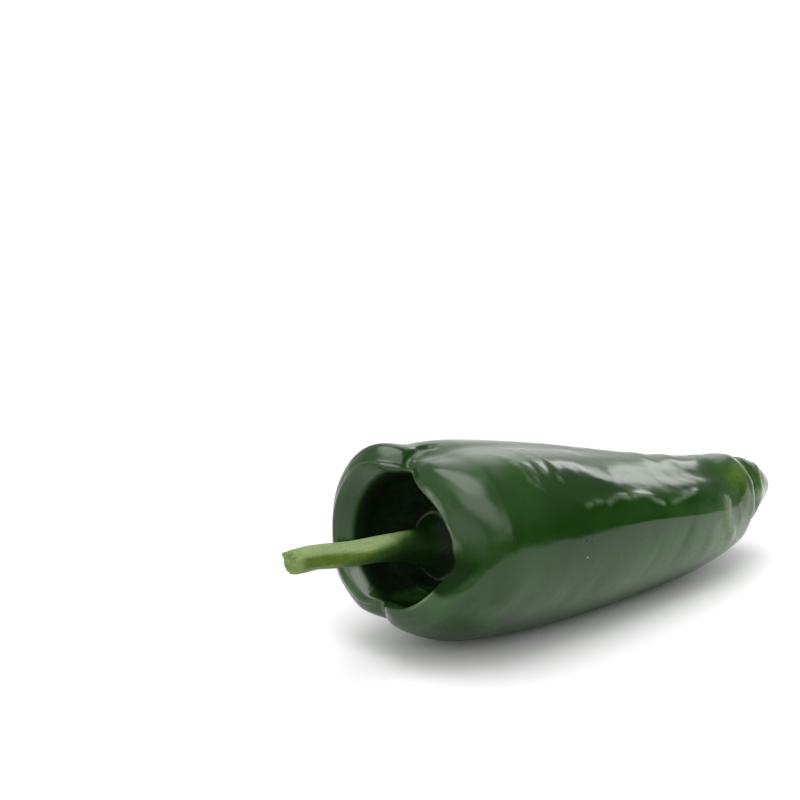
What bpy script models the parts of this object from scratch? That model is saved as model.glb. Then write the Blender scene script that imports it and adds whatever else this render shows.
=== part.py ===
"""A poblano pepper as picked, lying on its side: the pod, and the stem with its calyx.

The pod lies along X with its stem end towards -X and its tip towards +X. Z is up, the pod
rests on z = 0, and the origin is the middle of the flat spot that it rests on.

The pod is described along and round its own middle line: "axial" is the distance from the
rim towards the tip, and angles run from straight up towards -Y, in degrees.
"""

import math

import bmesh
import bpy
from mathutils import Matrix, Vector

MM = 0.001

# Driving sizes of the pod, in millimetres and degrees.
POD_LENGTH = 148.0
SHOULDER_DEPTH = 26.0
SHOULDER_RADIUS = 28.6
SEAT_DEPTH = 19.0
SEAT_RADIUS = 9.5
BASIN_FLOOR_DEPTH = 18.4
BASIN_FLOOR_RADIUS = 13.0
# How it lies: the rim's place along X, its middle line's height there, and its lean down.
RIM_X = -60.0
AXIS_HEIGHT = 30.8
PITCH = 4.0
# How finely its skin is divided.
RINGS_IN_THE_BASIN = 12
RINGS_OVER_THE_RIM = 12
RINGS_ON_THE_BODY = 40
POINTS_ROUND = 88

# Two clefts part the near lobe from the far one. Each row: angle, depth, and which way round
# from it the near lobe lies. A cleft's cheek is wider on the near lobe.
TOP_CLEFT = -6.0
BOTTOM_CLEFT = 194.0
CLEFTS = [(TOP_CLEFT, 3.2, 1), (BOTTOM_CLEFT, 4.4, -1)]
NEAR_CHEEK_WIDTH = 26.0
FAR_CHEEK_WIDTH = 19.0
NEAR_LOBE = 94.0

# The rim's crest: angle, axial place, radius.
RIM = [
    (5, 5.5, 18.6),
    (20, 6.5, 17.2),
    (45, 8.5, 16.4),
    (75, 11.0, 15.5),
    (95, 9.5, 17.5),
    (115, 4.8, 18.2),
    (140, 1.2, 18.7),
    (163, -0.6, 18.8),
    (180, -1.4, 18.6),
    (194, -1.0, 19.6),
    (208, -1.0, 21.8),
    (235, -2.0, 23.2),
    (265, -2.2, 23.2),
    (300, -2.4, 23.0),
    (330, -1.0, 23.5),
    (350, 4.0, 21.2),
]
# The outline from the basin's wall over the rim to the shoulder. Each row: share of the way down
# from the crest, millimetres further down, share of the way out from the rim's radius to the
# shoulder's, millimetres further out. The way down ends at the seat's depth for the rows inside
# the crest, and at the shoulder's depth for the others.
FAR_OUTLINE = [
    (0.55, 0.0, 0.0, -3.4),
    (0.0, 2.0, 0.0, -1.7),
    (0.0, 0.0, 0.0, 0.0),
    (0.0, 0.8, 0.0, 2.8),
    (0.0, 4.0, 0.76, 0.0),
    (0.5, 0.0, 1.0, -0.8),
]
NEAR_OUTLINE = [
    (0.55, 0.0, 0.0, -1.6),
    (0.0, 1.6, 0.0, -0.9),
    (0.0, 0.0, 0.0, 0.0),
    (0.0, 1.3, 0.0, 2.8),
    (0.0, 4.6, 0.62, 0.0),
    (0.62, 0.0, 1.0, -1.2),
]
# In the whole outline, the rim's crest is this row, and the shoulder is the one below.
RIM_ROW = 4
SHOULDER_ROW = 8

# The shoulder's cross section: angle, radius.
SHOULDER = [
    (0, 28.0),
    (30, 29.2),
    (60, 29.0),
    (90, 28.8),
    (120, 28.0),
    (150, 27.2),
    (180, 28.4),
    (210, 29.6),
    (240, 29.4),
    (270, 28.8),
    (300, 29.2),
    (330, 30.3),
    (348, 29.3),
]
# The body from the shoulder to the tip: axial place, mean radius, sag of the middle line, and
# how much of the shoulder's cross section is left.
BODY = [
    (SHOULDER_DEPTH, SHOULDER_RADIUS, 0.0, 1.0),
    (48.0, 27.3, 0.9, 0.8),
    (72.0, 24.4, 2.3, 0.6),
    (96.0, 20.6, 3.4, 0.3),
    (118.0, 16.8, 3.2, 0.1),
    (133.0, 12.6, 1.6, 0.0),
    (141.0, 8.2, 0.2, 0.0),
    (145.5, 4.4, -0.6, 0.0),
    (POD_LENGTH, 0.0, -1.0, 0.0),
]
# The middle line runs higher in the stem's basin: axial place, rise.
RISE = [(2.0, 4.5), (19.0, 1.0), (40.0, 0.0)]

# Broad swells and hollows along the body: lift, the four axial places where each starts, is
# full, begins to fade and ends, its angle, and its spread before and after that angle.
BROAD_SWELLS = [
    (-1.6, (56.0, 76.0, 108.0, 130.0), 28.0, 30.0, 16.0),
    (0.4, (40.0, 70.0, 112.0, 119.0), 104.0, 22.0, 22.0),
    (0.5, (45.0, 75.0, 105.0, 128.0), 292.0, 16.0, 16.0),
]
# The crease along the near side is an edge between the flat facet above it and the belly
# below it: how far it runs, its lift and angle, and how far it is felt above and below.
CREASE_SPAN = (48.0, 88.0, 112.0, 119.0)
CREASE_LIFT = 0.85
CREASE_ANGLE = 68.5
CREASE_REACH_ABOVE = 8.0
CREASE_REACH_BELOW = 7.0
# The facet's upper edge is a low ridge: how far it runs, its lift, its angle, and its spread
# in millimetres.
RIDGE_SPAN = (40.0, 58.0, 104.0, 112.0)
RIDGE_LIFT = 0.45
RIDGE_ANGLE = 53.0
RIDGE_SPREAD = 1.9
# A soft furrow on the far side, in the same terms.
FURROW_SPAN = (45.0, 75.0, 105.0, 128.0)
FURROW_LIFT = -1.4
FURROW_ANGLE = 268.0
FURROW_SPREAD = 4.2
# The groove round the neck of the tip, which is deeper and further along on the underside.
NECK_AXIAL = 132.5
NECK_LIFT = -1.1
NECK_SPREAD = 2.0
# Small folds and swellings at the tip: lift, axial place and spread, angle and spread.
TIP_FOLDS = [
    (-0.5, 138.5, 1.5, 45.0, 35.0),
    (0.8, 125.0, 6.0, 40.0, 30.0),
    (0.85, 117.0, 1.8, 92.0, 26.0),
    (-0.5, 112.5, 2.2, 84.0, 20.0),
]


def blend(a, b, share):
    return a + (b - a) * share


def curve(p0, p1, p2, p3, t):
    """The smooth curve through four numbers, between the second and the third."""
    return 0.5 * (
        2 * p1 + (p2 - p0) * t + (2 * p0 - 5 * p1 + 4 * p2 - p3) * t**2
        + (3 * p1 - p0 - 3 * p2 + p3) * t**3
    )


def along(points, place):
    """A point on the smooth curve through the points; place 0 is the first, 1 the second."""
    last = len(points) - 1
    i = min(int(place), last - 1)
    before = points[max(i - 1, 0)]
    after = points[min(i + 2, last)]
    return [
        curve(a, b, c, d, place - i)
        for a, b, c, d in zip(before, points[i], points[i + 1], after)
    ]


def round_the_pod(table, angle):
    """Reads a table of rows that start with an angle, and runs on from its end to its start."""
    angle = angle % 360.0
    count = len(table)
    rows = []
    for i in range(-2, count + 3):
        turns, row = divmod(i, count)
        rows.append((table[row][0] + 360.0 * turns,) + table[row][1:])
    i = max(n for n in range(count + 3) if rows[n][0] <= angle)
    t = (angle - rows[i][0]) / (rows[i + 1][0] - rows[i][0])
    return [
        curve(rows[i - 1][k], rows[i][k], rows[i + 1][k], rows[i + 2][k], t)
        for k in range(1, len(rows[i]))
    ]


def step(x, start, end):
    t = min(max((x - start) / (end - start), 0.0), 1.0)
    return t * t * (3.0 - 2.0 * t)


def span(x, places):
    """Rises from 0 to 1 between the first two places, and falls to 0 between the others."""
    start, full, fading, end = places
    return step(x, start, full) * (1.0 - step(x, fading, end))


def rise(axial):
    for (x0, y0), (x1, y1) in zip(RISE, RISE[1:]):
        if axial <= x1:
            return blend(y0, y1, step(axial, x0, x1))
    return 0.0


def angle_between(a, b):
    """The signed angle from b to a, in degrees, from -180 to 180."""
    return (a - b + 180.0) % 360.0 - 180.0


def bump(off, spread):
    return math.exp(-((off / spread) ** 2))


def fold(x, width):
    """Two round cheeks that meet in a sharp line at x = 0: 1 there, and 0 at width."""
    return max(0.0, 1.0 - math.hypot(x, 0.04 * width) / width) ** 2


def profile(angle):
    """The skin's outline at one angle, from the calyx seat over the rim to the tip.

    Each row is an axial place, a radius, and the height of the middle line there.
    """
    crest, rim_radius = round_the_pod(RIM, angle)
    (shoulder,) = round_the_pod(SHOULDER, angle)
    near = step(math.cos(math.radians(angle_between(angle, NEAR_LOBE))), -0.6, 0.6)
    rows = [(SEAT_DEPTH, SEAT_RADIUS), (BASIN_FLOOR_DEPTH, BASIN_FLOOR_RADIUS)]
    for far_row, near_row in zip(FAR_OUTLINE, NEAR_OUTLINE):
        share_down, down, share_out, out = (blend(a, b, near) for a, b in zip(far_row, near_row))
        depth = SEAT_DEPTH if len(rows) < RIM_ROW else SHOULDER_DEPTH
        axial = blend(crest, depth, share_down) + down
        rows.append((axial, blend(rim_radius, shoulder, share_out) + out))
    rows = [(axial, radius, rise(axial)) for axial, radius in rows]
    for axial, radius, sag, left in BODY:
        radius *= blend(1.0, shoulder / SHOULDER_RADIUS, left)
        rows.append((axial, radius, rise(axial) - sag))
    return rows


def pod_point(rows, place, angle):
    """A point of the skin: place counts the profile's rows, angle goes round."""
    axial, radius, height = along(rows, place)
    from_rim = place - RIM_ROW
    # A cleft lowers the crest, draws the outside in, and widens the basin a little.
    lowered = bump(from_rim, 1.6)
    drawn_in = step(from_rim, -0.2, 1.4) * bump(from_rim - 1.0, 2.6)
    widened = 0.3 * bump(from_rim + 1.2, 0.8)
    for middle, depth, near_way in CLEFTS:
        off = angle_between(angle, middle)
        width = NEAR_CHEEK_WIDTH if off * near_way > 0.0 else FAR_CHEEK_WIDTH
        axial += depth * fold(off, width) * lowered
        radius -= depth * fold(off, width) * (drawn_in - widened)
    if place > RIM_ROW:
        radius += relief(axial, radius, angle) * step(radius, 0.0, 6.0)
    turn = math.radians(angle)
    return laid_down(axial, radius * math.sin(turn), height + radius * math.cos(turn))


def relief(axial, radius, angle):
    """How far the skin stands above the plain outline: the side crease, the facets, the tip."""
    arc = math.radians(radius)
    lift = 0.0
    for height, places, middle, before, after in BROAD_SWELLS:
        off = angle_between(angle, middle)
        lift += height * span(axial, places) * bump(off, before if off < 0.0 else after)

    # The crease sinks down the side towards the tip, and the ridge above it wavers.
    crease = CREASE_ANGLE + 4.0 * step(axial, 84.0, 120.0)
    ridge = RIDGE_ANGLE + 1.5 * math.sin(axial / 7.0)
    furrow = FURROW_ANGLE - 4.0 * math.sin(axial / 13.0)
    across = arc * angle_between(angle, crease)
    reach = CREASE_REACH_ABOVE if across < 0.0 else CREASE_REACH_BELOW
    lift += CREASE_LIFT * span(axial, CREASE_SPAN) * fold(across, reach)
    across = arc * angle_between(angle, ridge)
    lift += RIDGE_LIFT * span(axial, RIDGE_SPAN) * bump(across, RIDGE_SPREAD)
    across = arc * angle_between(angle, furrow)
    lift += FURROW_LIFT * span(axial, FURROW_SPAN) * bump(across, FURROW_SPREAD)

    underside = bump(angle_between(angle, 170.0), 48.0)
    neck = NECK_AXIAL + 4.5 * underside
    lift += NECK_LIFT * (1.0 + 0.75 * underside) * bump(axial - neck, NECK_SPREAD)
    for height, place, length, middle, spread in TIP_FOLDS:
        across_tip = bump(angle_between(angle, middle), spread)
        lift += height * bump(axial - place, length) * across_tip
    return lift


def laid_down(axial, near, up):
    """The place of a point given along and across the pod's axis, once the pod lies down."""
    lean = math.radians(PITCH)
    x = RIM_X + axial * math.cos(lean) + up * math.sin(lean)
    z = AXIS_HEIGHT - axial * math.sin(lean) + up * math.cos(lean)
    return Vector((x, -near, max(z, 0.0)))


def mesh_object(name, bm, material):
    bm.normal_update()
    mesh = bpy.data.meshes.new(name)
    bm.to_mesh(mesh)
    bm.free()
    mesh.transform(Matrix.Scale(MM, 4))
    mesh.shade_smooth()
    mesh.materials.append(material)
    obj = bpy.data.objects.new(name, mesh)
    bpy.context.scene.collection.objects.link(obj)
    return obj


def plain_material(name, colour, roughness):
    material = bpy.data.materials.new(name)
    material.use_nodes = True
    shader = material.node_tree.nodes["Principled BSDF"]
    shader.inputs["Base Color"].default_value = (*colour, 1.0)
    shader.inputs["Roughness"].default_value = roughness
    return material


def close_grid(bm, rings, start=None, end=None):
    """Joins rings of vertices with quads, and closes each end with a fan."""
    for first, second in zip(rings, rings[1:]):
        count = len(first)
        for i in range(count):
            j = (i + 1) % count
            bm.faces.new((first[i], first[j], second[j], second[i]))
    for ring, centre in ((rings[0], start), (rings[-1], end)):
        hub = bm.verts.new(centre)
        for i in range(len(ring)):
            bm.faces.new((hub, ring[i], ring[(i + 1) % len(ring)]))
    bmesh.ops.recalc_face_normals(bm, faces=bm.faces)


def ring_angles():
    """The angles of the points round the pod, closer together at the clefts and the crease."""
    crowded = ((TOP_CLEFT, 13.0), (BOTTOM_CLEFT, 13.0), (CREASE_ANGLE, 18.0))
    steps_a_degree = 2
    weights = []
    for i in range(360 * steps_a_degree):
        near = [bump(angle_between(i / steps_a_degree, middle), width) for middle, width in crowded]
        weights.append(1.0 + 1.3 * sum(near))
    share = sum(weights) / POINTS_ROUND
    angles = []
    total = 0.0
    for i, weight in enumerate(weights):
        if total + weight > share * len(angles):
            angles.append((i + (share * len(angles) - total) / weight) / steps_a_degree)
        total += weight
    return angles[:POINTS_ROUND]


def ring_places():
    """Where the rings lie on the profile: from the seat to the tip, without the tip itself."""
    bounds = [0.0, RIM_ROW - 1.5, RIM_ROW + 2.0, SHOULDER_ROW + len(BODY) - 1.0]
    counts = [RINGS_IN_THE_BASIN, RINGS_OVER_THE_RIM, RINGS_ON_THE_BODY]
    places = []
    for start, end, count in zip(bounds, bounds[1:], counts):
        places += [blend(start, end, i / count) for i in range(count)]
    return places


def build_pod():
    bm = bmesh.new()
    angles = ring_angles()
    profiles = [profile(angle) for angle in angles]
    rings = []
    for place in ring_places():
        points = [pod_point(rows, place, angle) for rows, angle in zip(profiles, angles)]
        rings.append([bm.verts.new(point) for point in points])
    seat = laid_down(SEAT_DEPTH, 0.0, rise(SEAT_DEPTH))
    tip = laid_down(POD_LENGTH, 0.0, -BODY[-1][2])
    close_grid(bm, rings, seat, tip)
    skin = plain_material("pod_skin", (0.012, 0.042, 0.008), 0.3)
    return mesh_object("pod", bm, skin)


# Driving sizes of the stem, in millimetres: its middle line as axial place, place towards -Y
# and height over the pod's own middle line.
STEM_PATH = [
    (18.6, 0.0, 1.0),
    (13.0, 0.0, 1.7),
    (6.0, 0.0, 3.2),
    (-6.0, 0.0, 3.9),
    (-19.0, -0.5, 3.8),
    (-33.0, -1.0, 4.7),
]
# The calyx and the stem: distance from the calyx's underside, radius.
STEM_OUTLINE = [
    (0.0, 8.0),
    (0.2, 10.0),
    (0.6, 10.7),
    (1.2, 10.4),
    (2.1, 9.0),
    (4.0, 7.2),
    (7.0, 5.6),
    (11.0, 4.7),
    (17.0, 4.1),
    (27.0, 3.65),
    (38.0, 3.5),
    (47.5, 3.35),
    (51.0, 3.6),
    (52.0, 3.35),
    (52.2, 2.6),
]
RINGS_A_ROW = 3
STEM_POINTS = 30
# Five soft ribs run up the calyx and fade along the stem.
RIBS = 5
STEM_RIB = 0.03
CALYX_RIB = 0.035
# The stem is a little oval, and its cut end slants.
OVAL = 0.025
CUT_SLANT = 0.5
# How finely the middle line is measured.
PATH_STEPS = 60


def build_stem():
    bm = bmesh.new()
    path = [laid_down(*row) for row in STEM_PATH]
    last = len(path) - 1
    lengths = [0.0]
    for i in range(1, PATH_STEPS + 1):
        here = Vector(along(path, last * i / PATH_STEPS))
        before = Vector(along(path, last * (i - 1) / PATH_STEPS))
        lengths.append(lengths[-1] + (here - before).length)
    rings = []
    rows = len(STEM_OUTLINE) - 1
    pod_axis = (laid_down(0.0, 0.0, 0.0) - laid_down(10.0, 0.0, 0.0)).normalized()
    for k in range(rows * RINGS_A_ROW + 1):
        distance, radius = along(STEM_OUTLINE, k / RINGS_A_ROW)
        i = max(n for n in range(PATH_STEPS) if lengths[n] <= distance)
        part_way = (distance - lengths[i]) / (lengths[i + 1] - lengths[i])
        place = last * (i + part_way) / PATH_STEPS
        centre = Vector(along(path, min(place, last)))
        ahead = Vector(along(path, min(place + 0.05, last)))
        behind = Vector(along(path, max(place - 0.05, 0.0)))
        way = (ahead - behind).normalized()
        way = pod_axis.lerp(way, step(distance, 1.5, 12.0)).normalized()
        side = way.cross(Vector((0.0, 0.0, 1.0))).normalized()
        up = side.cross(way)
        ring = []
        for j in range(STEM_POINTS):
            turn = 2 * math.pi * j / STEM_POINTS
            rib = STEM_RIB + CALYX_RIB * (1.0 - step(distance, 2.0, 12.0))
            swell = 1.0 + rib * math.cos(RIBS * turn + 0.6)
            swell += OVAL * math.cos(2 * turn + distance / 9.0)
            cut = CUT_SLANT * math.sin(turn + 1.0) * step(distance, 47.5, 51.5)
            spoke = math.cos(turn) * up + math.sin(turn) * side
            ring.append(bm.verts.new(centre + radius * swell * spoke + cut * way))
        rings.append(ring)
    close_grid(bm, rings, path[0], Vector(along(path, last)) - 0.3 * way)
    green = plain_material("stem_green", (0.2, 0.32, 0.08), 0.5)
    return mesh_object("stem", bm, green)


def main():
    for obj in list(bpy.data.objects):
        bpy.data.objects.remove(obj)
    build_pod()
    build_stem()


main()
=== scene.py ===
"""A fresh poblano pepper lying on a pale table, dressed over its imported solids."""

import math

import bpy
import numpy as np
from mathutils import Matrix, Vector, noise
from mathutils.bvhtree import BVHTree


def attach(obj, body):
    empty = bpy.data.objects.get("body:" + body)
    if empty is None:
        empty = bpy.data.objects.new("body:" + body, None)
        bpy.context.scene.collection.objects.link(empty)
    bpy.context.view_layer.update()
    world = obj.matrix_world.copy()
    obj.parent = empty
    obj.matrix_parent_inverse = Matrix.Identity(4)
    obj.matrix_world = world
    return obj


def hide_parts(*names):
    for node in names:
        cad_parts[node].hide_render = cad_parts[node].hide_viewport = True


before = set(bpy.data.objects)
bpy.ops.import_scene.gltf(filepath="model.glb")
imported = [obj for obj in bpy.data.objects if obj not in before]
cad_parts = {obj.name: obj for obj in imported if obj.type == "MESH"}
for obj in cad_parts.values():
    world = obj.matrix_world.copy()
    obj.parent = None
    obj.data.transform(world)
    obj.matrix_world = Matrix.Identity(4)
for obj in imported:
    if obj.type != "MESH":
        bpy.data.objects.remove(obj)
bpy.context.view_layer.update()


# The pod: one fruit of thick flesh under a smooth waxy skin, grown in one piece with its
# shoulders, its basin and its tip. It is the solid pod divided smoothly, and the finer folds
# are pressed into the skin along drawn lines.

# Where its axis starts at the rim, in millimetres, and how far it dips towards the tip.
RIM_X = -60.0
AXIS_HEIGHT = 30.8
PITCH = math.radians(4.0)
# The middle line of the pod, as millimetres from the rim and millimetres up.
MIDDLE_LINE = [(2, 4.5), (10, 2.8), (19, 1.0), (30, 0.3), (40, -0.5), (48, -0.9), (72, -2.3), (96, -3.4),
               (118, -3.2), (133, -1.6), (141, -0.2), (148, 1.0)]


def smooth_copy(node_name, name, levels):
    """A copy of a solid, with its triangles joined to quads and then divided smoothly."""
    bpy.ops.object.select_all(action="DESELECT")
    piece = bpy.data.objects.new(name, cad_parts[node_name].data.copy())
    bpy.context.scene.collection.objects.link(piece)
    piece.select_set(True)
    bpy.context.view_layer.objects.active = piece
    bpy.ops.object.mode_set(mode="EDIT")
    bpy.ops.mesh.select_all(action="SELECT")
    bpy.ops.mesh.remove_doubles(threshold=1e-6)
    bpy.ops.mesh.tris_convert_to_quads(face_threshold=math.pi, shape_threshold=math.pi)
    bpy.ops.mesh.customdata_custom_splitnormals_clear()
    bpy.ops.object.mode_set(mode="OBJECT")
    bpy.ops.object.shade_smooth()
    divide = piece.modifiers.new("divide", "SUBSURF")
    divide.levels = levels
    divide.render_levels = levels
    bpy.ops.object.modifier_apply(modifier=divide.name)
    return piece


def points_of(piece, layer="co"):
    """A row of x, y and z for each point: its place, or its normal."""
    flat = np.empty(len(piece.data.vertices) * 3)
    piece.data.vertices.foreach_get(layer, flat)
    return flat.reshape(-1, 3)


def move_points(piece, points):
    """Puts each point of the piece at its new place."""
    piece.data.vertices.foreach_set("co", points.ravel())
    piece.data.update()


def pod_place(points):
    """Where points in metres lie on the pod, as three rows: millimetres from the rim towards the
    tip, degrees from straight up towards the near side, millimetres from the middle line."""
    x = points[:, 0] * 1000 - RIM_X
    y = points[:, 1] * 1000
    z = points[:, 2] * 1000 - AXIS_HEIGHT
    axial = x * math.cos(PITCH) - z * math.sin(PITCH)
    middle = np.interp(axial, *zip(*MIDDLE_LINE))
    up = x * math.sin(PITCH) + z * math.cos(PITCH) - middle
    return np.stack([axial, np.degrees(np.arctan2(-y, up)), np.hypot(y, up)])


def pod_point(axial, angle, radius):
    """The point in metres at this place on the pod."""
    turn = math.radians(angle)
    up = radius * math.cos(turn) + np.interp(axial, *zip(*MIDDLE_LINE))
    x = RIM_X + axial * math.cos(PITCH) + up * math.sin(PITCH)
    z = AXIS_HEIGHT - axial * math.sin(PITCH) + up * math.cos(PITCH)
    return Vector((x, -radius * math.sin(turn), z)) / 1000


def through(rows, steps=8):
    """More rows on a smooth curve through the given ones."""
    rows = np.array(rows, float)
    padded = np.vstack([2 * rows[0] - rows[1], rows, 2 * rows[-1] - rows[-2]])
    out = []
    for p0, p1, p2, p3 in zip(padded, padded[1:], padded[2:], padded[3:]):
        for t in np.arange(steps) / steps:
            out.append(0.5 * (2 * p1 + (p2 - p0) * t + (2 * p0 - 5 * p1 + 4 * p2 - p3) * t**2
                              + (3 * p1 - p0 - 3 * p2 + p3) * t**3))
    out.append(rows[-1])
    return np.array(out)


def off_line(points, line):
    """How far each point is from a line, in millimetres, and how far along the line, 0 to 1."""
    best = np.full(len(points), np.inf)
    where = np.zeros(len(points))
    for i, (a, b) in enumerate(zip(line, line[1:])):
        way = b - a
        t = np.clip((points - a) @ way / (way @ way), 0, 1)
        off = np.linalg.norm(points - a - t[:, None] * way, axis=1)
        closer = off < best
        best[closer] = off[closer]
        where[closer] = (i + t[closer]) / (len(line) - 1)
    return best * 1000, where


def eased(x, start, end):
    """Runs softly from 0 at the start to 1 at the end."""
    t = np.clip((x - start) / (end - start), 0, 1)
    return t * t * (3 - 2 * t)


def near(x, middle, spread):
    """1 at the middle, and falls off softly over the spread to both sides."""
    return np.exp(-(((x - middle) / spread) ** 2))


def turned(angle, middle):
    """Degrees round the pod from a middle angle, from -180 to 180."""
    return (angle - middle + 180) % 360 - 180


# Where the top cleft ends behind the rim: axial start and end, angle, half its width, least radius.
CLEFT_END = (8.5, 26.0, -6.0, 9.0, 20.0)

pod = smooth_copy("pod", "pod_skin", levels=2)
# Behind the rim the top cleft fades out, so its sharp end is smoothed away.
axial, angle, radius = pod_place(points_of(pod))
first, last, middle, half_width, least = CLEFT_END
cleft_end = (axial > first) & (axial < last) & (np.abs(angle - middle) < half_width) & (radius > least)
bpy.ops.object.mode_set(mode="EDIT")
bpy.ops.mesh.select_all(action="DESELECT")
bpy.ops.object.mode_set(mode="OBJECT")
pod.data.vertices.foreach_set("select", cleft_end)
bpy.ops.object.mode_set(mode="EDIT")
bpy.ops.mesh.vertices_smooth(factor=0.5, repeat=60)
bpy.ops.object.mode_set(mode="OBJECT")
corners = [vertex.co for vertex in pod.data.vertices]
pod_tree = BVHTree.FromPolygons(corners, [face.vertices for face in pod.data.polygons])


def on_skin(axial, angle):
    """The point of the outer skin at this place, found from well outside it."""
    outside = pod_point(axial, angle, radius=60)
    middle = pod_point(axial, angle, radius=0)
    return pod_tree.ray_cast(outside, (middle - outside).normalized())[0]


def skin_line(rows):
    """A line over the skin through rows of axial place and angle, and a radius inside the rim."""
    places = through(rows)
    if len(rows[0]) == 3:
        return np.array([pod_point(*row) for row in places])
    return np.array([on_skin(*row) for row in places])


# Soft swells of the skin: lift in millimetres, axial place and spread, angle and spread, and
# whether it is on the outer skin or on the wall of the basin.
SWELLS = [
    # The near shoulder turns in sharply to the basin, and its cheek is full below.
    (1.0, 17.0, 5.0, 46, 27, "outer"),
    (-0.5, 28.0, 5.5, 40, 20, "outer"),
    (0.6, 11.0, 3.2, 50, 16, "outer"),
    (0.5, 10.5, 3.2, 76, 12, "outer"),
    (1.2, 12.5, 6.0, 81, 15, "outer"),
    (-0.5, 9.0, 7.0, 120, 15, "outer"),
    # The far lobe is flatter at its side, and rolls over softly into the basin.
    (-1.3, 5.0, 9.0, 268, 30, "outer"),
    (2.4, 5.0, 5.0, 285, 48, "wall"),
    (2.0, 4.5, 5.0, 223, 22, "wall"),
    (2.0, 4.5, 5.0, 328, 24, "wall"),
    # Bumps along the top before the tip.
    (0.35, 95.0, 3.0, 355, 14, "outer"),
    (0.3, 106.0, 3.0, 355, 14, "outer"),
    (0.3, 119.5, 2.2, 357, 16, "outer"),
    (0.15, 108.0, 8.0, 6, 12, "outer"),
    # The round bulb and the nub of the tip.
    (0.5, 125.0, 4.5, 44, 26, "outer"),
    (1.2, 129.0, 7.0, 2, 30, "outer"),
    (-1.9, 140.0, 4.5, 112, 32, "outer"),
    (-0.9, 133.5, 2.0, 115, 26, "outer"),
    (0.9, 139.0, 6.0, 10, 35, "outer"),
    (1.1, 148.5, 3.0, 60, 90, "outer"),
    (0.35, 138.5, 2.0, 84, 22, "outer"),
]
# Where the corner of the near lobe lies against the far lobe: axial place, angle and radius.
LOBE_EDGE = [(21, -11, 28.0), (17.5, -14, 28.0), (14.5, -14, 27.6), (11.5, -11.5, 26.4), (8.5, -9, 25.0),
             (6.5, -6, 22.6), (6, -1, 21.0), (7, 5, 20.4)]
# Lines pressed into the skin or raised from it: lift in millimetres, width in millimetres,
# whether the line is sharp, how much highlight is painted along it as pale skin, and the rows that it
# runs through.
LINES = [
    # The lip round the near side of the basin, and the groove behind it.
    (0.3, 0.5, False, 0.45, [(6.2, 8, 18.3), (6.6, 17, 18.3), (7.5, 31, 17.5), (8.6, 43, 17.0),
                             (9.6, 54, 16.6), (10.8, 66, 16.3), (11.2, 78, 16.4), (10.0, 91, 17.3),
                             (7.4, 104, 17.9), (4.0, 118, 18.2), (1.2, 140, 18.7), (-0.4, 160, 18.8)]),
    (-0.3, 1.1, False, 0, [(6.8, 12, 19.8), (7.5, 22, 19.5), (8.6, 34, 19.1), (9.5, 45, 18.7),
                           (10.6, 56, 18.4), (11.8, 66, 18.2), (12.3, 78, 18.3), (11.6, 90, 18.9)]),
    # The broken ridge above the facet.
    (0.24, 1.1, False, 0.35, [(51, 56.5), (55, 54.5), (58, 53.5), (60, 55)]),
    (0.26, 1.1, False, 0.45, [(60, 56.5), (63, 53.5), (66, 51.5), (70, 51.5), (72, 54)]),
    (0.3, 1.1, False, 0.6, [(71, 53.5), (75, 50.5), (79, 51), (82, 54), (85, 57.5), (87, 59)]),
    (0.24, 1.0, False, 0.5, [(89, 58.5), (92, 57), (96, 54.5), (100, 52), (105, 48)]),
    # Folds across the side where the crease ends, and round the tip.
    (0.7, 1.6, False, 0.9, [(116.4, 56), (115.6, 62), (114.8, 69), (115, 78), (115.8, 87), (117.4, 97),
                            (120, 116)]),
    (0.25, 0.8, False, 0.3, [(121.5, 66), (122, 80), (122.6, 96)]),
    (0.55, 1.5, False, 1.0, [(128.2, -8), (128.8, 13), (129.6, 28), (130.4, 40), (131.2, 49), (131.0, 63),
                             (130, 84), (129, 104)]),
    (-0.6, 1.0, True, 0, [(133.6, -20), (133.6, 10), (134, 30), (134.4, 50), (134, 75), (133, 100)]),
    (0.45, 0.8, False, 0.7, [(140.5, 5), (139.5, 25), (138, 44), (136.5, 62), (135.8, 80)]),
    # Fine wrinkles round the near shoulder.
    (0.16, 0.7, False, 0.3, [(31, 11), (34, 18), (37.5, 25), (38, 31), (37.5, 36.5), (36.5, 43)]),
    (0.16, 0.7, False, 0.3, [(40, -2), (41.5, 5), (43, 15), (42.5, 24), (42, 30), (40.5, 43)]),
    (0.18, 0.7, False, 0.35, [(44, -2), (45.5, 5), (46.5, 15), (47.5, 26), (46.5, 37), (45, 45)]),
    (0.14, 0.7, False, 0.25, [(30, 12), (32, 18), (34, 28), (34.5, 37), (38.5, 46)]),
    (-0.2, 0.8, False, 0, [(37, 4), (39, 16), (39.6, 31), (38.8, 43)]),
    (-0.2, 0.8, False, 0, [(43.5, 10), (45, 20), (44.6, 31), (43, 43)]),
    # The edge of the near lobe against the far one.
    (-0.8, 1.2, False, 0, LOBE_EDGE),
    # Two grooves round the far rim, and a wrinkle where it dips under the near lobe.
    (-0.45, 0.9, True, 0, [(0.4, 258, 24.0), (-0.6, 245, 23.9), (-1.0, 232, 23.4), (-0.9, 219, 22.6),
                           (0.2, 206, 21.6)]),
    (-0.35, 0.8, False, 0, [(1.6, 208, 20.4), (3.0, 201, 20.0), (4.0, 195, 19.6)]),
    (0.35, 0.8, False, 0.5, [(3.4, 214, 20.2), (4.6, 206, 19.8), (5.2, 199, 19.3)]),
    # Folds of the basin's wall beside the calyx.
    (-0.5, 0.9, True, 0, [(13.0, 352, 17.6), (15.5, 345, 16.4), (17.5, 338, 14.6), (18.6, 330, 12.4)]),
    (0.4, 0.8, False, 0.2, [(12.2, 340, 18.2), (14.5, 334, 16.8), (16.8, 326, 14.8)]),
    (0.35, 0.6, False, 0.3, [(11.0, 12, 17.8), (14.0, 4, 16.8), (16.5, 355, 15.2)]),
]
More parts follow.
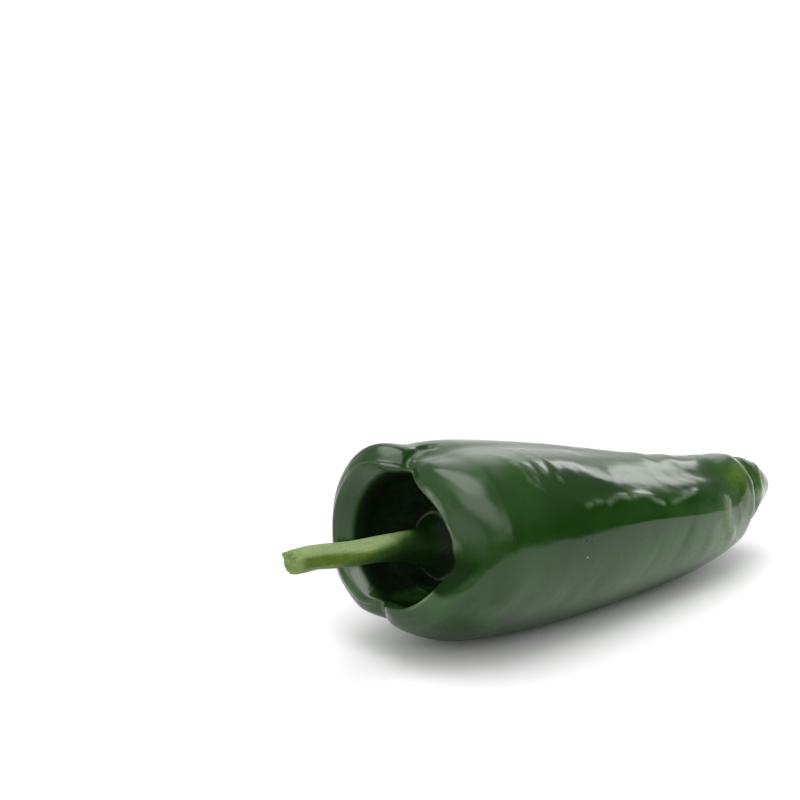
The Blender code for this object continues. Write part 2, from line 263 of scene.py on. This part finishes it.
# The floor of the basin is crumpled, and the outer skin wavers a little: lift in millimetres, and
# how closely the crumples or waves follow.
CRUMPLES = (0.5, 170.0)
WAVERS = [(0.10, 70.0), (0.035, 210.0)]

points = points_of(pod)
normals = points_of(pod, "normal")
axial, angle, _ = pod_place(points)
turn = np.radians(angle)
outward = np.stack([np.zeros(len(turn)), -np.sin(turn), np.cos(turn)], axis=1)
facing_out = np.sum(normals * outward, axis=1)
outer = eased(facing_out, -0.25, 0.25)
lift = np.zeros(len(points))
pale_and_highlight = np.zeros(len(points))
for height, place, length, middle, spread, side in SWELLS:
    share = near(axial, place, length) * near(turned(angle, middle), 0, spread)
    lift += height * share * (outer if side == "outer" else 1 - outer)
for height, width, sharp, painted_highlight, rows in LINES:
    off, where = off_line(points, skin_line(rows))
    ends = eased(where, 0, 0.15) * (1 - eased(where, 0.85, 1))
    across = np.clip(1 - off / (2 * width), 0, 1) ** 3 if sharp else near(off, 0, width)
    lift += height * ends * across
    # Painted highlight: pale skin along each raised line.
    pale_and_highlight = np.maximum(pale_and_highlight, painted_highlight * ends * near(off, 0, 0.7 * width))
height, closeness = CRUMPLES
crumpled = (1 - outer) * eased(axial, 7, 13)
for i in np.flatnonzero(crumpled > 0.01):
    lift[i] += height * crumpled[i] * noise.fractal(Vector(points[i]) * closeness, 0.8, 2.0, 3)
for height, closeness in WAVERS:
    lift += height * outer * np.array([noise.noise(Vector(point) * closeness) for point in points])
points += normals * lift[:, None] / 1000
# Nothing goes below the table.
points[:, 2] = np.maximum(points[:, 2], 0)
move_points(pod, points)


def paint(piece, name, values):
    """Keeps a number from 0 to 1 at each point, for a material to read."""
    layer = piece.data.attributes.new(name, "FLOAT", "POINT")
    layer.data.foreach_set("value", np.clip(values, 0, 1))


# Tender, yellower skin is on the bulb before the tip, on the nub and low down in the basin.
tender = near(axial, 126, 6) * near(angle, 42, 20)
tender += 0.8 * near(axial, 139, 3) * near(angle, 45, 30)
tender += 0.7 * near(axial, 5, 5) * near(angle, 125, 24) * (1 - outer)
paint(pod, "tender", tender)
# Painted highlights as pale skin along the raised lines; pale skin with painted highlight on it at
# the end of the tip and on the near side of the nub; and lighter skin on the side before it.
pale_and_highlight = np.maximum(0.8 * pale_and_highlight, 0.9 * eased(axial, 139, 145))
pale_and_highlight = np.maximum(pale_and_highlight, 0.85 * eased(axial, 132.5, 136) * eased(angle, 52, 72))
pale_and_highlight = np.maximum(pale_and_highlight, 0.5 * eased(axial, 98, 120) * near(angle, 105, 35))
paint(pod, "pale_and_highlight", pale_and_highlight)
# Painted shade: the skin loses its gloss and darkens in the basin, though less so low on its wall, and
# where the lobes meet.
basin_shade = eased(-facing_out, 0.5, 0.85) * eased(axial, 0.5, 4)
painted_shade = np.maximum(basin_shade, (1 - outer) * eased(axial, 7, 11))
painted_shade *= 1 - 0.8 * near(axial, 12, 6) * near(turned(angle, 190), 0, 14)
off, where = off_line(points, skin_line(LOBE_EDGE))
painted_shade = np.maximum(painted_shade, 0.6 * near(off, 0, 1.3) * eased(where, 0, 0.2))
# Painted shade too beside the lower lip, as far as a slanting line, and where the skin faces the table.
slant = angle + 3.2 * (axial - 7)
lip_shade = eased(slant, 120, 109) * eased(angle, 52, 94) * (1 - eased(axial, 13, 24))
painted_shade = np.maximum(painted_shade, 0.78 * lip_shade * (1 - eased(angle, 118, 126)))
underside_shade = outer * eased(angle, 100, 140) * eased(axial, -12, 14) * (1 - eased(axial, 100, 120))
painted_shade = np.maximum(painted_shade, 0.5 * underside_shade)
paint(pod, "painted_shade", painted_shade)
# The wax is thinner over the near shoulder, so its shine is softer.
paint(pod, "thin_wax", near(axial, 20, 16) * near(angle, 40, 35))


class Wire:
    """A socket of a material's nodes, so that sums and products of sockets read as sums."""

    def __init__(self, tree, socket):
        self.tree = tree
        self.socket = socket

    def node(self, kind, settings=None, out=0, **inputs):
        """Adds a node and gives one of its outputs. The settings are set first, then the inputs, which
        are values or wires: Base_Color is an input by name, and _0 is the first input."""
        node = self.tree.nodes.new("ShaderNode" + kind)
        for key, value in (settings or {}).items():
            setattr(node, key, value)
        for key, value in inputs.items():
            socket = node.inputs[int(key[1:]) if key[0] == "_" else key.replace("_", " ")]
            if isinstance(value, Wire):
                self.tree.links.new(value.socket, socket)
            else:
                socket.default_value = value
        return Wire(self.tree, node.outputs[out])

    def maths(self, operation, a, b=0.0):
        return self.node("Math", {"operation": operation}, _0=a, _1=b)

    def __add__(self, other):
        return self.maths("ADD", self, other)

    def __radd__(self, other):
        return self.maths("ADD", other, self)

    def __sub__(self, other):
        return self.maths("SUBTRACT", self, other)

    def __rsub__(self, other):
        return self.maths("SUBTRACT", other, self)

    def __mul__(self, other):
        return self.maths("MULTIPLY", self, other)

    def __rmul__(self, other):
        return self.maths("MULTIPLY", other, self)

    def clip(self, low, high):
        """Runs from 0 at low to 1 at high."""
        return self.node("MapRange", {"interpolation_type": "SMOOTHSTEP"}, _0=self, _1=low, _2=high)

    def mix(self, a, b):
        """Colour a where this is 0, and colour b where it is 1."""
        return self.node("Mix", {"data_type": "RGBA"}, 2, _0=self, _6=a, _7=b)


def new_material(name):
    """A material, a wire to start its nodes from, and its shader."""
    material = bpy.data.materials.new(name)
    material.use_nodes = True
    tree = material.node_tree
    shader = tree.nodes["Principled BSDF"]
    return material, Wire(tree, None), shader


def feed(wire, node, socket):
    """Joins a wire to an input of a node, by its name."""
    wire.tree.links.new(wire.socket, node.inputs[socket])


# Colours of the skin: two greens, the streaks of painted sheen, tender skin, pale skin that also carries
# painted highlights, and the painted shade of the basin.
SKIN_DEEP = (0.006, 0.028, 0.002, 1)
SKIN_MID = (0.011, 0.047, 0.004, 1)
SKIN_STREAK_SHEEN = (0.052, 0.118, 0.045, 1)
SKIN_TENDER = (0.045, 0.100, 0.008, 1)
SKIN_PALE_AND_HIGHLIGHT = (0.185, 0.245, 0.160, 1)
BASIN_SHADE = (0.002, 0.007, 0.001, 1)
# Specks on the skin: axial place, angle, radius in millimetres and colour.
SPECK_DARK = (0.004, 0.008, 0.002, 1)
SPECK_PALE = (0.35, 0.40, 0.30, 1)
SPECKS = [
    (49.2, 76.3, 0.45, SPECK_DARK),
    (51.4, 77.4, 0.40, SPECK_DARK),
    (47.0, 75.4, 0.25, SPECK_DARK),
    (49.5, 86.3, 0.30, SPECK_PALE),
    (20.0, 72.0, 0.30, SPECK_PALE),
]

skin, start, shader = new_material("waxy_skin")
place = start.node("TexCoord", out=3)
along_pod = start.node("SeparateXYZ", out=0, Vector=place) * 1000.0
height = start.node("SeparateXYZ", out=2, Vector=place) * 1000.0
how_tender = start.node("Attribute", {"attribute_name": "tender"}, 2)
how_pale_and_highlight = start.node("Attribute", {"attribute_name": "pale_and_highlight"}, 2)
how_shaded = start.node("Attribute", {"attribute_name": "painted_shade"}, 2)
how_thin = start.node("Attribute", {"attribute_name": "thin_wax"}, 2)
# Two greens in soft clouds, and a painted sheen of paler streaks that slant over the lower side, where
# the table is mirrored, mostly near the tip.
clouds = start.node("TexNoise", Vector=place, Scale=28.0, Detail=3.0, Roughness=0.55)
slanting = start.node("Mapping", {"vector_type": "TEXTURE"}, Vector=place,
                      Rotation=(0.0, math.radians(-52), 0.0), Scale=(0.035, 0.006, 0.005))
streaks = start.node("TexNoise", Vector=slanting, Scale=1.0, Detail=1.5, Roughness=0.4)
sheen_below = height.clip(32.0, 20.0) * (0.35 + 0.4 * along_pod.clip(5.0, 60.0))
colour = clouds.clip(0.35, 0.7).mix(SKIN_DEEP, SKIN_MID)
colour = (streaks.clip(0.22, 0.75) * sheen_below).mix(colour, SKIN_STREAK_SHEEN)
# The tender skin, and the pale skin with its painted highlights, is patchy.
mottle = start.node("TexNoise", Vector=place, Scale=260.0, Detail=3.0)
speckle = start.node("TexNoise", Vector=place, Scale=900.0, Detail=2.0)
patchy = 0.3 + 0.45 * mottle.clip(0.35, 0.65) + 0.25 * speckle.clip(0.35, 0.65)
colour = (how_tender * (0.2 + patchy)).mix(colour, SKIN_TENDER)
colour = (how_pale_and_highlight * (patchy + 0.45 * streaks.clip(0.3, 0.7))).mix(colour, SKIN_PALE_AND_HIGHLIGHT)
# Painted shade takes away the gloss; so do the dark specks, which have lost their wax.
shade_and_speck_share = how_shaded.clip(0.1, 0.8)
for speck_axial, speck_angle, size, tone in SPECKS:
    middle = on_skin(speck_axial, speck_angle)
    distance = start.node("VectorMath", {"operation": "DISTANCE"}, 1, _0=place, _1=middle)
    spot = distance.clip(size / 1000, size / 2000)
    colour = spot.mix(colour, tone)
    if tone == SPECK_DARK:
        shade_and_speck_share = shade_and_speck_share + 0.7 * spot
feed(colour, shader, "Base Color")
# The wax shines unevenly, and its surface is not quite even.
uneven = 0.12 + 0.06 * clouds.clip(0.3, 0.7) + 0.03 * streaks.clip(0.35, 0.75) + 0.09 * how_thin
feed(uneven, shader, "Roughness")
lengthwise = start.node("Mapping", Vector=place, Scale=(60.0, 120.0, 120.0))
waves = start.node("TexNoise", Vector=lengthwise, Scale=1.0, Detail=2.0)
bump = start.node("Bump", Strength=0.35, Distance=0.0006, Height=waves + 0.2 * mottle + 0.05 * speckle)
feed(bump, shader, "Normal")
shader.inputs["IOR"].default_value = 1.46
# Where shade is painted, a darker shader without gloss takes over, and the most shaded skin is darker
# still.
shade_colour = how_shaded.clip(0.6, 0.9).mix(SKIN_DEEP, BASIN_SHADE)
shaded_skin = start.node("BsdfPrincipled", Base_Color=shade_colour, Roughness=0.6, Specular_IOR_Level=0.06)
both = start.node("MixShader", _0=shade_and_speck_share, _1=Wire(start.tree, shader.outputs[0]), _2=shaded_skin)
feed(both, start.tree.nodes["Material Output"], "Surface")
pod.data.materials.clear()
pod.data.materials.append(skin)

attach(pod, "root")
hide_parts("pod")


# The stem and calyx: a fibrous green stem, cut off with a knife, that widens into the calyx at the
# floor of the basin. It is the solid stem divided smoothly, with its fibres and torn end added.

# Colours: the cut end, the top with its painted highlight, the lower half in painted shade, and the two
# greens, darkened by painted shade, towards the calyx.
STEM_CUT = (0.150, 0.215, 0.065, 1)
STEM_PALE_LIT = (0.205, 0.275, 0.125, 1)
STEM_OLIVE_SHADED = (0.056, 0.100, 0.004, 1)
STEM_GREEN_SHADED = (0.015, 0.048, 0.003, 1)
STEM_BASIN_SHADE = (0.003, 0.014, 0.001, 1)
# The solid's middle line: its height in millimetres at x = 0, and its rise for each one outward.
STEM_HEIGHT = 28.5
STEM_RISE = 0.1
# The last part bends up a little more: by how much, and where the bend starts and ends.
BEND_UP = 0.7
BEND_START = 68.0
BEND_END = 84.0
# How far the calyx's thin rim is from the pod's middle line.
CALYX_RIM_RADIUS = 9.6

stem = smooth_copy("stem", "green_stem", levels=2)
points = points_of(stem)
axial, _, radius = pod_place(points)
length_out = -1000 * points[:, 0]
# Fibres run along it, its cut end is torn, and the calyx has a thin pale rim.
fibre = np.array([noise.noise(Vector((60 * x, 900 * y, 900 * z))) for x, y, z in points])
torn = np.array([noise.noise(Vector(point) * 800) for point in points])
rim = near(radius, CALYX_RIM_RADIUS, 0.45) * eased(axial, 12, 15)
lift = 0.12 * fibre * eased(length_out, 56, 64) + 0.25 * rim
points += points_of(stem, "normal") * lift[:, None] / 1000
points[:, 0] -= 0.0016 * torn * eased(length_out, 91.5, 93.4)
# The knife has bruised the end, so that it is chamfered above and hangs down below.
over = 1000 * points[:, 2] - STEM_HEIGHT - STEM_RISE * length_out
chamfer = 1.4 * eased(length_out, 85, 94) * eased(over, 0.5, 3)
swelling = 0.6 * eased(length_out, 84, 90) * eased(-over, 0, 3)
bend = BEND_UP * eased(length_out, BEND_START, BEND_END)
points[:, 2] += (bend - swelling - chamfer) / 1000
move_points(stem, points)
paint(stem, "rim", rim)

stalk, start, shader = new_material("fibrous_stem")
place = start.node("TexCoord", out=3)
out_along = start.node("SeparateXYZ", out=0, Vector=place) * -1000.0
height = start.node("SeparateXYZ", out=2, Vector=place) * 1000.0
lengthwise = start.node("Mapping", Vector=place, Scale=(50.0, 1500.0, 1500.0))
fibres = start.node("TexNoise", Vector=lengthwise, Scale=1.0, Detail=4.0, Roughness=0.65)
patches = start.node("TexNoise", Vector=place, Scale=260.0, Detail=3.0)
specks = start.node("TexNoise", Vector=place, Scale=1500.0, Detail=2.0)
# How far a point is under the stem's middle line, in millimetres.
under = STEM_HEIGHT + STEM_RISE * out_along + BEND_UP * out_along.clip(BEND_START, BEND_END) - height
# Painted light: it is pale above where the light falls and olive in painted shade below, with a paler
# lowest edge, and greener, then darker in the painted shade of the basin, towards the calyx.
grain = fibres.clip(0.3, 0.7) + 0.8 * patches.clip(0.3, 0.7)
shade_below = under.clip(-1.9, -0.3) * (1 - 0.5 * under.clip(1.6, 2.8))
colour = (0.14 * grain + 0.22 * specks.clip(0.4, 0.7) + 0.8 * shade_below).mix(STEM_PALE_LIT, STEM_OLIVE_SHADED)
# Painted shade: greener, then darker, where the stem runs into the basin towards the calyx.
colour = (out_along + 10.0 * patches - 3.0 * under).clip(80.0, 69.0).mix(colour, STEM_GREEN_SHADED)
colour = (out_along + 6.0 * patches - 2.0 * under).clip(69.0, 60.0).mix(colour, STEM_BASIN_SHADE)
colour = (out_along + 3.0 * fibres).clip(90.5, 93.0).mix(colour, STEM_CUT)
how_near_rim = start.node("Attribute", {"attribute_name": "rim"}, 2)
colour = (how_near_rim * 0.6 * patches).mix(colour, SKIN_PALE_AND_HIGHLIGHT)
feed(colour, shader, "Base Color")
shader.inputs["Roughness"].default_value = 0.45
shader.inputs["Specular IOR Level"].default_value = 0.15
bump = start.node("Bump", Strength=0.7, Distance=0.0005, Height=fibres + 0.4 * patches)
feed(bump, shader, "Normal")
stem.data.materials.clear()
stem.data.materials.append(stalk)

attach(stem, "root")
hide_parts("stem")


# The table, the light and the camera. The table is a wide white sheet, and the light comes from
# the room round it, with no lamps.

TABLE_WHITE = (0.74, 0.74, 0.74, 1)
# Soft patches of light: strength, azimuth, elevation, and half sizes as shares of the distance.
LIGHT_PATCHES = [
    # Large ones overhead and above the camera.
    (4.4, -125, 86, 0.44, 0.44),
    (2.5, -121, 41, 0.66, 0.5),
    # A small bright one and a tall dim one behind the pod.
    (3.3, 24.5, 21, 0.17, 0.1),
    (0.9, 46, 38, 0.22, 0.6),
    # A dim one low down to the left of the camera.
    (0.9, -154, 7, 0.36, 0.2),
]
# The middles of the two dark stretches of the room: azimuth and elevation.
DARK_IN_FRONT = (-100, 8)
DARK_AT_RIGHT = (-38, 32)
# Where the photograph's camera stood: azimuth, elevation, and its distance in metres from its aim.
CAMERA_PLACE = (-128, 17.5, 0.75)
CAMERA_AIM = Vector((-0.0244, 0.0405, 0.0603))
CAMERA_LENS = 115.0

bpy.ops.object.select_all(action="DESELECT")
bpy.ops.mesh.primitive_plane_add(size=16.0, location=(0, 0, 0))
table = bpy.context.object
table.name = "table"
white, _, shader = new_material("white_table")
shader.inputs["Base Color"].default_value = TABLE_WHITE
shader.inputs["Roughness"].default_value = 0.7
table.data.materials.append(white)


def away(azimuth, elevation, distance):
    """A point at this distance from the pod: azimuth runs from +X towards +Y, in degrees."""
    turn, rise = math.radians(azimuth), math.radians(elevation)
    flat = Vector((math.cos(turn), math.sin(turn), 0)) * math.cos(rise)
    return distance * (flat + Vector((0, 0, math.sin(rise))))


world = bpy.data.worlds.new("studio")
bpy.context.scene.world = world
world.use_nodes = True
background = world.node_tree.nodes["Background"]
start = Wire(world.node_tree, None)
direction = start.node("TexCoord", out=0)


def facing(azimuth, elevation):
    """How far the room's direction agrees with this one: 1 straight towards it, 0 square to it."""
    towards = away(azimuth, elevation, 1)
    return start.node("VectorMath", {"operation": "DOT_PRODUCT"}, 1, _0=direction, _1=towards)


def soft_patch(azimuth, elevation, half_width, half_height):
    """A patch of the room with soft edges: 1 at its middle, and 0 outside it."""
    across = facing(azimuth + 90, 0) * (1 / half_width)
    upward = facing(azimuth, elevation + 90) * (1 / half_height)
    return (across * across + upward * upward).clip(1.3, 0.3) * facing(azimuth, elevation).clip(0, 0.2)


# The room is bright all round, apart from a wide dark stretch low in front of the pod and a
# smaller one to its right, and these are darkest near the floor. The skin mirrors them.
height = start.node("SeparateXYZ", out=2, Vector=direction)
lit = (1 - facing(*DARK_IN_FRONT).clip(0.1, 0.6)) * (1 - facing(*DARK_AT_RIGHT).clip(0.35, 0.8))
level = 0.8 * lit + (1 - lit) * (0.03 + 0.22 * height.clip(0.15, 0.55))
for strength, *patch in LIGHT_PATCHES:
    level = level + strength * soft_patch(*patch)
feed(level, background, "Strength")
background.inputs["Color"].default_value = (1, 1, 1, 1)

camera = bpy.data.objects.new("camera", bpy.data.cameras.new("camera"))
camera.data.lens = CAMERA_LENS
camera.location = CAMERA_AIM + away(*CAMERA_PLACE)
camera.rotation_euler = (CAMERA_AIM - camera.location).to_track_quat("-Z", "Y").to_euler()
bpy.context.scene.collection.objects.link(camera)
bpy.context.scene.camera = camera
bpy.context.scene.view_settings.view_transform = "Standard"
